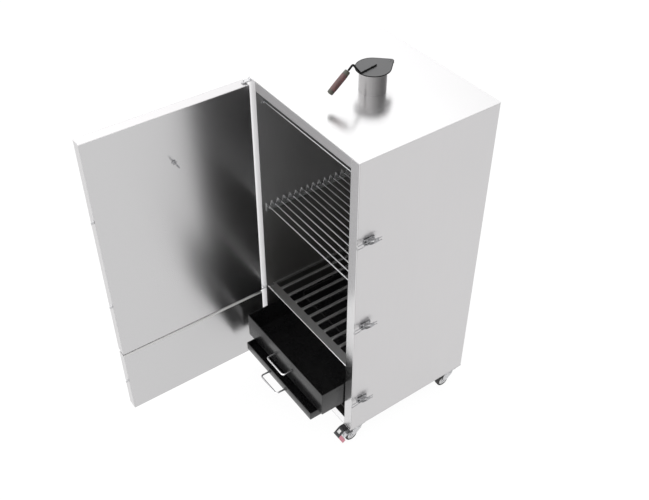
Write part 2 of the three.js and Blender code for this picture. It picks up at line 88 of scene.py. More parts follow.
def feed(tree, node, inputs):
    """Links or sets a node's inputs, given by name or number."""
    for key, value in inputs.items():
        socket = node.inputs[key.replace("_", " ") if isinstance(key, str) else key]
        if isinstance(value, bpy.types.NodeSocket):
            tree.links.new(value, socket)
        else:
            socket.default_value = value


def add_node(tree, kind, settings=None, **inputs):
    node = tree.nodes.new(kind)
    for key, value in (settings or {}).items():
        setattr(node, key, value)
    feed(tree, node, inputs)
    return node


def object_space(tree):
    return add_node(tree, "ShaderNodeTexCoord").outputs["Object"]


def noise(tree, stretch, detail, rough=0.5):
    """Noise in object space, stretch lengths per metre along each axis."""
    mapped = add_node(tree, "ShaderNodeMapping", Vector=object_space(tree), Scale=stretch)
    vector = mapped.outputs["Vector"]
    made = add_node(tree, "ShaderNodeTexNoise", Vector=vector, Scale=1.0, Detail=detail, Roughness=rough)
    return made.outputs["Fac"]


def between(tree, value, low, high, from_low=0.3, from_high=0.7):
    """Carries a value's span onto another span."""
    made = add_node(tree, "ShaderNodeMapRange", Value=value, From_Min=from_low, From_Max=from_high,
                    To_Min=low, To_Max=high)
    return made.outputs["Result"]


MIX_SHARE, MIX_FIRST, MIX_SECOND, MIX_RESULT = 0, 6, 7, 2  # the colour sockets of a mix node


def mixed(tree, share, first, second):
    """A mix of two colours, the share a socket."""
    made = add_node(tree, "ShaderNodeMix", {"data_type": "RGBA"})
    opaque = [(*colour, 1) if isinstance(colour, tuple) else colour for colour in (first, second)]
    feed(tree, made, {MIX_SHARE: share, MIX_FIRST: opaque[0], MIX_SECOND: opaque[1]})
    return made.outputs[MIX_RESULT]


def maths(tree, how, first, second):
    made = add_node(tree, "ShaderNodeMath", {"operation": how})
    feed(tree, made, {0: first, 1: second})
    return made.outputs["Value"]


def bumped(tree, height, strength, distance):
    made = add_node(tree, "ShaderNodeBump", Height=height, Strength=strength, Distance=distance)
    return made.outputs["Normal"]


FINE = 900.0  # brush lines per metre, across the grain
LONG = 9.0  # and along it
GRAIN = {"X": (LONG, FINE, FINE), "Y": (FINE, LONG, FINE), "Z": (FINE, FINE, LONG)}
CLOUDING = (5.0, 5.0, 2.5)
DARKER_BELOW_HEIGHTS = (0.5, 1.05)  # metres up: wholly the colour below, and free of it


def sheet_metal(name, colour, dull, rough, grain="Z", brush=0.05, lines=0.12, smudge=0.05, metallic=1.0,
                stretch=0.0, colour_below=None):
    """Sheet with a brushed grain: fine lines in the colour, gloss and relief, and faint wide clouding.

    A stretch above zero draws reflections out up and down. A colour below, if given, takes over towards the
    bottom.
    """
    material, tree, shader = new_material(name)
    line = noise(tree, GRAIN[grain], detail=2.0)
    cloud = noise(tree, CLOUDING, detail=2.0)
    shade = mixed(tree, between(tree, line, 0.0, 0.45), colour, dull)
    shade = mixed(tree, between(tree, cloud, 0.0, 0.5), shade, dull)
    if colour_below:
        height = add_node(tree, "ShaderNodeSeparateXYZ", Vector=object_space(tree)).outputs["Z"]
        uneven = maths(tree, "ADD", height, between(tree, cloud, -0.05, 0.05))
        shade = mixed(tree, between(tree, uneven, 1, 0, *DARKER_BELOW_HEIGHTS), shade, colour_below)
    gloss = maths(tree, "ADD", between(tree, line, rough - brush / 2, rough + brush / 2),
                  between(tree, cloud, -smudge / 2, smudge / 2))
    relief = bumped(tree, line, lines, 0.00005)
    feed(tree, shader, {"Base Color": shade, "Roughness": gloss, "Normal": relief, "Metallic": metallic})
    if stretch:
        across = add_node(tree, "ShaderNodeTangent", {"direction_type": "RADIAL", "axis": "Z"})
        feed(tree, shader, {
            "Tangent": across.outputs["Tangent"],
            "Anisotropic": stretch,
            "Anisotropic Rotation": 0.25,
        })
    return material


def bright_metal(name, colour, dull, rough):
    """Plated or polished wire and small parts, with slight pitting and handling marks."""
    material, tree, shader = new_material(name)
    mark = noise(tree, (160.0, 160.0, 160.0), detail=4.0)
    feed(tree, shader, {
        "Base Color": mixed(tree, between(tree, mark, 0.0, 1.0), colour, dull),
        "Roughness": between(tree, mark, rough * 0.7, rough * 1.5),
        "Normal": bumped(tree, mark, 0.06, 0.0002),
        "Metallic": 1.0,
    })
    return material


def coating(name, colour, worn, rough, peel=0.15, scale=420.0, coat=0.0, specular=0.5):
    """Paint, enamel, rubber or moulded plastic: a fine skin texture and patches rubbed a little lighter."""
    material, tree, shader = new_material(name)
    skin = noise(tree, (scale, scale, scale), detail=2.0)
    patch = noise(tree, (14.0, 14.0, 14.0), detail=5.0, rough=0.65)
    even = between(tree, skin, rough - 0.03, rough + 0.03)
    feed(tree, shader, {
        "Base Color": mixed(tree, between(tree, patch, 0.0, 0.6, 0.4, 0.75), colour, worn),
        "Roughness": maths(tree, "ADD", even, between(tree, patch, -0.03, 0.06)),
        "Normal": bumped(tree, skin, peel, 0.0002),
        "Coat Weight": coat,
        "Coat Roughness": 0.08,
        "Specular IOR Level": specular,
    })
    return material


def turned_wood(name, light, dark, deep):
    """Lacquered hardwood, its grain running the way the grip points."""
    material, tree, shader = new_material(name)
    turned = add_node(tree, "ShaderNodeMapping", Vector=object_space(tree), Rotation=GRIP_TILT,
                      Scale=(210.0, 210.0, 14.0)).outputs["Vector"]
    wide = add_node(tree, "ShaderNodeTexNoise", Vector=turned, Scale=1.0, Detail=5.0, Roughness=0.7)
    fine = add_node(tree, "ShaderNodeTexNoise", Vector=turned, Scale=4.0, Detail=2.0)
    ring, pores = wide.outputs["Fac"], fine.outputs["Fac"]
    shade = mixed(tree, between(tree, ring, 0.0, 1.0), light, dark)
    feed(tree, shader, {
        "Base Color": mixed(tree, between(tree, pores, 0.0, 0.85, 0.5, 0.62), shade, deep),
        "Roughness": between(tree, ring, 0.35, 0.5),
        "Normal": bumped(tree, pores, 0.25, 0.0003),
        "Coat Weight": 0.3,
        "Coat Roughness": 0.2,
    })
    return material


GRIP_TILT = (math.radians(43), 0, 0)

PANEL = sheet_metal(
    "steel_panel", (0.59, 0.58, 0.585), (0.57, 0.562, 0.568), 0.3, brush=0.02, lines=0.02, smudge=0.02)
TOP_SHEET = sheet_metal(
    "steel_top", (0.75, 0.745, 0.75), (0.73, 0.725, 0.73), 0.23, "Y", brush=0.03, lines=0.0, smudge=0.01)
# The posts are the top rail's frame steel in lighter colours for the light falling on them: painted light.
# The left post and bottom rail are lightest and the right post less so.
POST_STEEL_PAINTED_LIGHTEST = sheet_metal("steel_post_painted_lightest", (0.96, 0.955, 0.96), (0.92, 0.915, 0.92), 0.34, smudge=0.03)
POST_STEEL_PAINTED_LIGHTER = sheet_metal("steel_post_painted_lighter", (0.7, 0.695, 0.7), (0.62, 0.615, 0.62), 0.22, smudge=0.03)
RAIL = sheet_metal("steel_rail", (0.58, 0.575, 0.58), (0.52, 0.515, 0.52), 0.3, grain="X", smudge=0.03)
DOOR_SHEET = sheet_metal(
    "steel_door_inside", (0.57, 0.565, 0.57), (0.562, 0.557, 0.562), 0.26, brush=0.004, lines=0.0,
    smudge=0.02, stretch=0.6)
EDGE = sheet_metal("edge_strip", (0.62, 0.615, 0.61), (0.56, 0.555, 0.55), 0.5, grain="X", metallic=0.3)
LINER = sheet_metal(
    "steel_liner", (0.5, 0.5, 0.51), (0.43, 0.425, 0.425), 0.45, lines=0.05, smudge=0.03,
    colour_below=(0.24, 0.235, 0.23))
TEETH = sheet_metal("steel_teeth", (0.85, 0.85, 0.86), (0.7, 0.7, 0.7), 0.35)
PLATE = sheet_metal("steel_plate", (0.5, 0.5, 0.5), (0.42, 0.415, 0.41), 0.45, grain="Y", smudge=0.05)
CHROME = bright_metal("chrome_wire", (0.86, 0.86, 0.87), (0.74, 0.74, 0.75), 0.14)
RODS = bright_metal("rack_rods", (0.54, 0.545, 0.55), (0.44, 0.445, 0.45), 0.34)
PIPE = sheet_metal("steel_pipe", (0.3, 0.295, 0.295), (0.24, 0.235, 0.235), 0.3, lines=0.03)
LATCH = bright_metal("latch_steel", (0.5, 0.5, 0.51), (0.3, 0.3, 0.31), 0.42)
WIRE = bright_metal("latch_wire", (0.5, 0.5, 0.51), (0.4, 0.4, 0.41), 0.3)
CASTER = bright_metal("caster_steel", (0.62, 0.62, 0.63), (0.5, 0.5, 0.51), 0.3)
LID = sheet_metal("lid_steel", (0.15, 0.15, 0.152), (0.115, 0.115, 0.117), 0.42, grain="Y")
ELEMENT = coating("element_sheath", (0.008, 0.008, 0.008), (0.015, 0.015, 0.015), 0.7, specular=0.1)
ENAMEL = coating("black_enamel", (0.006, 0.006, 0.0065), (0.009, 0.009, 0.009), 0.27, peel=0.03, coat=0.1)
BLACK_ROD = coating("black_rod", (0.005, 0.005, 0.005), (0.011, 0.011, 0.011), 0.5, specular=0.12)
PLASTIC = coating("black_plastic", (0.018, 0.018, 0.02), (0.04, 0.04, 0.042), 0.45, peel=0.3)
TYRE = coating("tyre_rubber", (0.03, 0.03, 0.031), (0.06, 0.058, 0.055), 0.7, peel=0.4, specular=0.35)
HUB = coating("hub_plastic", (0.62, 0.62, 0.62), (0.5, 0.5, 0.49), 0.5)
RED = coating("pedal_red", (0.42, 0.16, 0.2), (0.34, 0.12, 0.15), 0.4)
DIAL = coating("dial_enamel", (0.86, 0.86, 0.84), (0.8, 0.79, 0.76), 0.35)
WOOL = coating("mineral_wool", (0.5, 0.44, 0.28), (0.66, 0.6, 0.42), 0.95, peel=1.0, scale=240.0)
WOOD = turned_wood("grip_wood", (0.12, 0.026, 0.026), (0.03, 0.012, 0.01), (0.008, 0.005, 0.004))
BURNT = turned_wood("grip_ends", (0.05, 0.046, 0.025), (0.018, 0.018, 0.011), (0.006, 0.006, 0.004))


# ---------- mesh shapes, added to one bmesh ----------
RIGHT, BACK, UP = (1, 0, 0), (0, 1, 0), (0, 0, 1)


def turn_to(direction):
    """A rotation that carries +Z onto a direction."""
    return Vector(UP).rotation_difference(Vector(direction)).to_matrix().to_4x4()


def set_finish(faces, finish):
    for face in faces:
        face.material_index = finish


def add_block(bm, x, y, z):
    corners = [bm.verts.new((a, b, c)) for a in x for b in y for c in z]
    for side in ((0, 1, 3, 2), (4, 6, 7, 5), (0, 4, 5, 1), (2, 3, 7, 6), (0, 2, 6, 4), (1, 5, 7, 3)):
        bm.faces.new([corners[i] for i in side])


def add_plate(bm, outline, low, high, holes=(), place=None, finish=0):
    """A flat outline with holes, given thickness from low to high along its own Z, then placed."""
    faces, levels = [], []
    for level in (low, high):
        loops = [[bm.verts.new((x, y, level)) for x, y in loop] for loop in (outline, *holes)]
        if holes:
            edges = [bm.edges.new(pair) for loop in loops for pair in zip(loop, loop[1:] + loop[:1])]
            filled = bmesh.ops.triangle_fill(bm, use_beauty=True, edges=edges)["geom"]
            faces += [item for item in filled if isinstance(item, bmesh.types.BMFace)]
        else:
            faces.append(bm.faces.new(loops[0]))
        levels.append(loops)
    for under, over in zip(*levels):
        for i in range(len(under)):
            j = (i + 1) % len(under)
            faces.append(bm.faces.new((under[i], under[j], over[j], over[i])))
    set_finish(faces, finish)
    if place is not None:
        for loops in levels:
            for vert in (v for loop in loops for v in loop):
                vert.co = place @ vert.co


def join_rings(bm, rings, finish, around=False):
    """Skins a row of rings; a ring of one vertex is a point."""
    faces = []
    for a, b in zip(rings, rings[1:] + rings[:1] if around else rings[1:]):
        count = max(len(a), len(b))
        for i in range(count):
            j = (i + 1) % count
            corners = dict.fromkeys((a[i % len(a)], a[j % len(a)], b[j % len(b)], b[i % len(b)]))
            if len(corners) > 2:
                faces.append(bm.faces.new(list(corners)))
    set_finish(faces, finish)


def arc(x, y, radius, first, last, steps):
    """Points round an arc, from one angle to another."""
    angles = [first + (last - first) * i / steps for i in range(steps + 1)]
    return [(x + radius * math.cos(a), y + radius * math.sin(a)) for a in angles]


def circle(x, y, radius, sides):
    return arc(x, y, radius, 0, 2 * math.pi, sides)[:-1]


def add_turned(bm, profile, centre, axis, sides, finish=0, around=False):
    """A profile of (radius, distance along the axis) turned about the axis."""
    place = Matrix.Translation(centre) @ turn_to(axis)
    rings = []
    for radius, along in profile:
        ring = circle(0, 0, radius, sides) if radius else [(0, 0)]
        rings.append([bm.verts.new(place @ Vector((*point, along))) for point in ring])
    join_rings(bm, rings, finish, around)


def add_bar(bm, path, radius, sides=12, finish=0):
    """A round bar along a path, its ends rounded off."""
    points = [Vector(p) for p in path]
    tips = points[0], points[-1]
    points[0] = tips[0] + (points[1] - tips[0]).normalized() * radius * 0.5
    points[-1] = tips[1] + (points[-2] - tips[1]).normalized() * radius * 0.5
    points = [tips[0], *points, tips[1]]
    radii = [radius * 0.6, *[radius] * (len(points) - 2), radius * 0.6]
    across = (points[1] - points[0]).orthogonal().normalized()
    rings = []
    for i, point in enumerate(points):
        before, after = points[max(i - 1, 0)], points[min(i + 1, len(points) - 1)]
        along = (after - before).normalized()
        across = (across - along * across.dot(along)).normalized()
        side = along.cross(across)
        rings.append([bm.verts.new(point + across * u + side * v) for u, v in circle(0, 0, radii[i], sides)])
    join_rings(bm, rings, finish)
    set_finish([bm.faces.new(rings[0]), bm.faces.new(rings[-1])], finish)


def bent(corners, radius, steps=6):
    """Corner points replaced by arcs of a bend radius."""
    points = [Vector(c) for c in corners]
    line = [points[0]]
    for before, corner, after in zip(points, points[1:], points[2:]):
        to_before, to_after = (before - corner).normalized(), (after - corner).normalized()
        half = to_before.angle(to_after) / 2
        reach = min(radius / math.tan(half), 0.49 * (before - corner).length, 0.49 * (after - corner).length)
        centre = corner + (to_before + to_after).normalized() * reach / math.cos(half)
        start, end = corner + to_before * reach - centre, corner + to_after * reach - centre
        line += [centre + start.slerp(end, i / steps).normalized() * start.length for i in range(steps + 1)]
    return line + [points[-1]]


def rounded(x, y, radius, steps=4):
    """A rectangle between pairs of x and y with rounded corners."""
    left, right, front, back = x[0] + radius, x[1] - radius, y[0] + radius, y[1] - radius
    outline = []
    for turn, corner in enumerate(((right, back), (left, back), (left, front), (right, front))):
        outline += arc(*corner, radius, math.pi / 2 * turn, math.pi / 2 * (turn + 1), steps)
    return outline


def tile(x, y, half_x, half_y, radius, steps=4):
    """A rounded rectangle about a centre."""
    return rounded((x - half_x, x + half_x), (y - half_y, y + half_y), radius, steps)


def channel(low, high, opening, web, sheet, fold):
    """Folded sheet seen from above: a web along one y, its walls reaching back to the opening's y."""
    inner = web + math.copysign(sheet, opening - web)
    left, right = low.x + sheet, high.x - sheet
    outside = [(low.x, opening), (low.x, web), (high.x, web), (high.x, opening)]
    inside = [(right, opening), (right, inner), (left, inner), (left, opening)]
    return bent(outside, fold) + bent(inside, fold - sheet)


ALONG_X = Matrix(((0, 0, 1, 0), (1, 0, 0, 0), (0, 1, 0, 0), (0, 0, 0, 1)))  # (y, z) outlines
ALONG_Y = Matrix(((1, 0, 0, 0), (0, 0, 1, 0), (0, 1, 0, 0), (0, 0, 0, 1)))  # (x, z) outlines


def add_head(bm, centre, axis, radius, height, finish=0):
    """A domed rivet or screw head."""
    dome = [(radius * math.cos(a), height * math.sin(a)) for a in (0, 0.5, 1.0, 1.35)]
    add_turned(bm, [(0, 0), *dome, (0, height)], centre, axis, 16, finish)


def add_hexagon(bm, centre, axis, radius, height):
    """A bolt head or nut with a chamfered top."""
    profile = [(0, 0), (radius, 0), (radius, height * 0.8), (radius * 0.86, height), (0, height)]
    add_turned(bm, profile, centre, axis, 6)


def add_object(name, data):
    made = bpy.data.objects.new(name, data)
    bpy.context.scene.collection.objects.link(made)
    return made


def piece(name, bm, finishes, body, replaces=(), space=CABINET, bevel=0.0, sharp=35):
    """Turns a bmesh into a piece that rides on a body. Bevel is in millimetres."""
    bmesh.ops.recalc_face_normals(bm, faces=bm.faces)
    mesh = bpy.data.meshes.new(name)
    bm.to_mesh(mesh)
    bm.free()
    mesh.transform(space)
    for finish in finishes if isinstance(finishes, list) else [finishes]:
        mesh.materials.append(finish)
    mesh.shade_smooth()
    mesh.set_sharp_from_angle(angle=math.radians(sharp))
    made = add_object(name, mesh)
    if bevel:
        edges = made.modifiers.new("edges", "BEVEL")
        edges.width = bevel / 1000
        edges.segments = 2
        edges.limit_method = "ANGLE"
        edges.angle_limit = math.radians(40)
        edges.harden_normals = True
    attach(made, body)
    if replaces:
        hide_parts(*replaces)


# ---------- cabinet shell ----------
LINER_SHEET = 1.5


def flue_hole(clearance, sides):
    low, high = extent("flue_pipe")
    centre = middle(low, high)
    return circle(centre.x, centre.y, (high.x - low.x) / 2 + clearance, sides)


def make_shell():
    low, high = extent("front_frame")
    liner_low, liner_high = extent("inner_liner")
    left, right = liner_low.x + LINER_SHEET, liner_high.x - LINER_SHEET
    sill, head = liner_low.z + LINER_SHEET, liner_high.z - LINER_SHEET
    seam = 0.15
    between_posts = (left + seam, right - seam)
    # The posts and bottom rail take the painted-light copies of the frame steel, and the top rail takes the
    # plain steel.
    for name, x, z, finish in (
        ("front_post_left", (low.x, left), (low.z, high.z), POST_STEEL_PAINTED_LIGHTEST),
        ("front_post_right", (right, high.x), (low.z, high.z), POST_STEEL_PAINTED_LIGHTER),
        ("front_rail_top", between_posts, (head, high.z), RAIL),
        ("front_rail_bottom", between_posts, (low.z, sill), POST_STEEL_PAINTED_LIGHTEST),
    ):
        bm = bmesh.new()
        add_plate(bm, rounded(x, z, 0.6), low.y, high.y, place=ALONG_Y)
        piece(name, bm, finish, "cabinet", ["front_frame"], bevel=0.8)

    low, high = extent("outer_wrap")
    bm = bmesh.new()
    add_plate(bm, channel(low, high, opening=low.y, web=high.y, sheet=2, fold=4), low.z, high.z)
    piece("side_and_back_sheet", bm, PANEL, "cabinet", ["outer_wrap"], bevel=0.5)

    for name, node, finish, holes in (
        ("base_sheet", "base_panel", PANEL, []),
        ("top_sheet", "top_panel", TOP_SHEET, [flue_hole(0.1, 72)]),
    ):
        low, high = extent(node)
        bm = bmesh.new()
        add_plate(bm, rounded((low.x, high.x), (low.y, high.y), 1.2), low.z, high.z, holes=holes)
        piece(name, bm, finish, "cabinet", [node], bevel=0.8)


def make_liner():
    low, high = extent("inner_liner")
    seam = 0.05
    across = (low.x + LINER_SHEET + seam, high.x - LINER_SHEET - seam)
    along = (low.y, high.y - LINER_SHEET - seam)
    bm = bmesh.new()
    for x in ((low.x, low.x + LINER_SHEET), (high.x - LINER_SHEET, high.x)):
        add_block(bm, x, (low.y, high.y), (low.z, high.z))
    add_block(bm, across, (high.y - LINER_SHEET, high.y), (low.z, high.z))
    add_block(bm, across, along, (low.z, low.z + LINER_SHEET))
    add_plate(bm, rounded(across, along, 0.5), high.z - LINER_SHEET, high.z, holes=[flue_hole(1.5, 64)])
    piece("chamber_liner", bm, LINER, "cabinet", ["inner_liner"], bevel=0.4)

    pan, drawer = (extent(node)[0].z - 1 for node in ("ash_pan", "fuel_drawer"))
    web = 2
    for side, sign in (("left", 1), ("right", -1)):
        low, high = extent(f"runner_{side}")
        wall = low.x if sign > 0 else high.x
        pan_reach, plate = high.x - low.x, high.z
        drawer_reach, plate_reach = pan_reach - 34, 11
        profile = [
            (0, pan - web), (pan_reach, pan - web), (pan_reach, pan), (web, pan),
            (web, drawer - web), (drawer_reach, drawer - web), (drawer_reach, drawer), (web, drawer),
            (web, plate - web), (plate_reach, plate - web), (plate_reach, plate), (0, plate),
        ]
        bm = bmesh.new()
        add_plate(bm, [(wall + sign * x, z) for x, z in profile], low.y, high.y, place=ALONG_Y)
        piece(f"runner_rails_{side}", bm, LINER, "cabinet", [f"runner_{side}"], bevel=0.4)


# ---------- racks ----------
RACK_RODS = 18
HANGING_RODS = 5


def spaced(first, last, count):
    return [first + (last - first) * i / (count - 1) for i in range(count)]


def make_food_rack():
    low, high = extent("food_rack")
    rod_y = spaced(low.y + 4, high.y - 4, RACK_RODS)
    half_pitch = (rod_y[1] - rod_y[0]) / 2
    radius, rod_z = 2.6, low.z + 6
    bm = bmesh.new()
    for y in rod_y:
        add_bar(bm, [(low.x, y, rod_z), (high.x, y, rod_z)], radius, 14)
    for x in (low.x + 7, high.x - 7):
        add_bar(bm, [(x, low.y, rod_z - 4), (x, high.y, rod_z - 4)], 1.9, 10)
    piece("food_rack_rods", bm, RODS, "food_rack", ["food_rack"])

    # Notched strips on the walls: a V stands up on each side of every rod.
    valley, foot, crest = rod_z - radius - 1.4, 3, half_pitch - 1
    for side in ("left", "right"):
        low, high = extent(f"rack_comb_{side}")
        chamfer = low.z + foot
        outline = [(low.y, chamfer), (low.y + foot, low.z), (high.y - foot, low.z), (high.y, chamfer)]
        for y in reversed(rod_y):
            outline += [(y + crest, high.z), (y + foot, valley), (y - foot, valley), (y - crest, high.z)]
        bm = bmesh.new()
        add_plate(bm, outline, low.x, high.x, place=ALONG_X)
        piece(f"rack_teeth_{side}", bm, TEETH, "cabinet", [f"rack_comb_{side}"], bevel=0.5)


def make_hanging_rods():
    low, high = extent("hanging_rack")
    rod_y = spaced(low.y + 12, high.y - 12, HANGING_RODS)
    radius, rod_z = 2.5, low.z + 3.8
    half, cup_radius, strip, bottom = 6, 2.8, 1.6, low.z + 0.4
    bm = bmesh.new()
    for y in rod_y:
        add_bar(bm, [(low.x + 2.5, y, rod_z), (high.x - 2.5, y, rod_z)], radius, 18)
    for x, way in ((low.x, 1), (high.x, -1)):
        # A strip on the wall with an open cup for each rod.
        back = rounded((low.y, high.y), (low.z, low.z + 7), 2)
        add_plate(bm, back, *sorted((x, x + way * strip)), place=ALONG_X)
        for y in rod_y:
            cup = [(y - half, bottom), (y + half, bottom), (y + half, high.z), (y + cup_radius, high.z)]
            cup += arc(y, rod_z, cup_radius, -math.pi / 10, -math.pi * 9 / 10, 8)
            cup += [(y - cup_radius, high.z), (y - half, high.z)]
            add_plate(bm, cup, *sorted((x + way * (strip + 0.1), x + way * 5)), place=ALONG_X)
    piece("hanging_rods", bm, RODS, "cabinet", ["hanging_rack"], bevel=0.3)


def make_fire_plate():
    low, high = extent("fire_plate")
    slots, pitch, width = 11, 45.4, 33
    front, back = low.y + 34, high.y - 38
    slot_x = [(low.x + high.x) / 2 + (i - (slots - 1) / 2) * pitch for i in range(slots)]
    holes = [rounded((x - width / 2, x + width / 2), (front, back), 5) for x in slot_x]
    bm = bmesh.new()
    add_plate(bm, rounded((low.x, high.x), (low.y + 2, high.y), 1), low.z, high.z, holes=holes)
    highlight_ridge_z, lip_z = high.z - 0.4, high.z - 1.6
    for x in slot_x[:-1]:
        # Each bar between the slots gets a low ridge right of the middle in the brighter teeth steel. The
        # ridge is real, and its lighter colour is a painted highlight along the bar.
        highlight_ridge_x = x + pitch / 2 + 3.4
        add_bar(bm, [(highlight_ridge_x, front + 2, highlight_ridge_z), (highlight_ridge_x, back - 2, highlight_ridge_z)], 1.7, 10, finish=2)
    add_bar(bm, [(low.x + 1, low.y + 2, lip_z), (high.x - 1, low.y + 2, lip_z)], 2, finish=1)
    for x in (low.x + 7, high.x - 7):
        clip = rounded((x - 5, x + 5), (low.y + 3, low.y + 24), 1)
        add_plate(bm, clip, high.z + 0.1, high.z + 1.6, finish=1)
    finishes = [PLATE, CHROME, TEETH]
    piece("fire_plate_slotted", bm, finishes, "fire_plate", ["fire_plate"], bevel=0.6)


# ---------- drawers ----------
def make_drawers():
    wall, rim, corner, wire = 1.5, 3.5, 2.5, 3.5
    for node in ("fuel_drawer", "ash_pan"):
        low, high = extent(node)
        bm = bmesh.new()
        rings = []
        for inset, level in (
            (1.2, low.z), (0.3, low.z + 0.4), (0, low.z + 1.5), (0, high.z - 1.5), (0.3, high.z - 0.4),
            (1.2, high.z), (rim - 0.8, high.z), (rim, high.z - 0.5), (rim, high.z - 1.6),
            (wall, high.z - 2.2), (wall, low.z + 3), (wall + 0.5, low.z + 1.9), (wall + 1.5, low.z + wall),
        ):
            across, along = (low.x + inset, high.x - inset), (low.y + inset, high.y - inset)
            ring = rounded(across, along, max(corner - inset, 0.5), 5)
            rings.append([bm.verts.new((x, y, level)) for x, y in ring])
        join_rings(bm, rings, 0)
        bm.faces.new(rings[0])
        bm.faces.new(rings[-1])
        # The left side takes the duller, rougher black: painted shade on that side.
        set_finish([face for face in bm.faces if face.calc_center_median().x < low.x + 0.5], 1)
        piece(f"{node}_tray", bm, [ENAMEL, BLACK_ROD], node, [node], sharp=50)

        low, high = extent(f"{node}_handle")
        left, right, front, z = low.x + wire, high.x - wire, low.y + wire, high.z - wire
        bm = bmesh.new()
        corners = [(left, high.y, z), (left, front, z), (right, front, z), (right, high.y, z)]
        add_bar(bm, bent(corners, 9, 8), wire, 18)
        for x in (left, right):
            profile = [(wire - 0.2, -3), (wire + 2.2, -1), (wire + 3, 0), (0, 0)]
            add_turned(bm, profile, (x, high.y, z), BACK, 24, finish=1)
        piece(f"{node}_bail", bm, [CHROME, ENAMEL], node, [f"{node}_handle"], sharp=50)


# ---------- doors ----------
def make_door(name):
    low, high = extent(f"{name}_skin", DOOR)
    sheet, seam, pin_hole = 2.0, 0.1, circle(0, 0, 5, 24)
    bm = bmesh.new()
    add_plate(bm, channel(low, high, opening=high.y, web=low.y, sheet=sheet, fold=3), low.z, high.z)
    inset = sheet + seam
    end_cap = rounded((low.x + inset, high.x - inset), (low.y + inset, high.y), 1)
    for z in ((low.z, low.z + sheet), (high.z - sheet, high.z)):
        add_plate(bm, end_cap, *z, holes=[pin_hole])
    piece(f"{name}_outer_pan", bm, PANEL, name, [f"{name}_skin"], space=DOOR, bevel=0.5)

    low, high = extent(f"{name}_inner_panel", DOOR)
    bm = bmesh.new()
    add_plate(bm, rounded((low.x, high.x), (low.z, high.z), 1.5), low.y, high.y, place=ALONG_Y)
    if name == "lower_door":
        # A strip along the top edge covers the gap below the upper door, low where the hinge is.
        for x, rise in (((low.x + 1, low.x + 27.5), 1.3), ((low.x + 28, high.x - 1), 7)):
            strip = rounded(x, (high.z - 3, high.z + rise), 0.6)
            add_plate(bm, strip, high.y - 1, high.y + 1.3, place=ALONG_Y, finish=1)
    piece(f"{name}_inner_sheet", bm, [DOOR_SHEET, EDGE], name, [f"{name}_inner_panel"],
          space=DOOR, bevel=0.6)


def on_dial(centre, degrees):
    """Places an (outward, sideways) outline on a dial that faces along Y."""
    return Matrix.Translation(centre) @ Matrix.Rotation(-math.radians(degrees), 4, "Y") @ ALONG_Y


def make_thermometer():
    low, high = extent("thermometer_dial", DOOR)
    centre = middle(low, high)
    radius, back = (high.z - low.z) / 2, Vector((centre.x, high.y, centre.z))
    out = (0, -1, 0)
    depth = high.y - low.y
    glass, face = radius - 4.4, depth - 3
    bm = bmesh.new()
    case = [(0, 0), (radius - 6, 0), (radius - 5, 2), (radius - 5, depth - 9), (radius - 1, depth - 8),
            (radius, depth - 6.5), (radius, depth - 1.2), (radius - 1, depth), (radius - 3, depth),
            (radius - 4, depth - 1), (glass, face)]
    add_turned(bm, case, back, out, 64)
    add_turned(bm, [(glass, face), (0, face)], back, out, 64, finish=1)
    sweep, first, ticks, tick_end = 270, 225, 40, radius - 7
    for i in range(ticks + 1):
        length, half = (3.5, 0.25) if i % 5 else (6.5, 0.55)
        tick = rounded((tick_end - length, tick_end), (-half, half), half * 0.6, 2)
        place = on_dial(back, first - sweep * i / ticks)
        add_plate(bm, tick, -face - 0.25, -face - 0.02, place=place, finish=2)
    needle = [(-8, -1.6), (0, -1.3), (radius - 12, -0.3), (radius - 12, 0.3), (0, 1.3), (-8, 1.6)]
    add_plate(bm, needle, -face - 1.4, -face - 0.8, place=on_dial(back, first - sweep * 0.06), finish=3)
    add_head(bm, back + Vector((0, -face, 0)), out, 3.2, 2.4)
    finishes = [CHROME, DIAL, PLASTIC, RED]
    piece("thermometer_head", bm, finishes, "upper_door", ["thermometer_dial"], space=DOOR)

    low, high = extent("thermometer_probe", DOOR)
    panel = extent("upper_door_inner_panel", DOOR)[1].y
    bm = bmesh.new()
    stem = (high.x - low.x) / 2
    shown = 0.68  # the share of the probe that stands out of the panel
    reach = panel - low.y + shown * (high.y - panel)
    tip = [(stem, reach - 4), (stem * 0.75, reach - 1.2), (stem * 0.3, reach), (0, reach)]
    add_turned(bm, [(0, 0), (stem, 0), *tip], (centre.x, low.y, centre.z), BACK, 20)
    add_hexagon(bm, (centre.x, panel + 0.1, centre.z), BACK, 8.5, 4.5)
    piece("thermometer_stem", bm, LATCH, "upper_door", ["thermometer_probe"], space=DOOR)


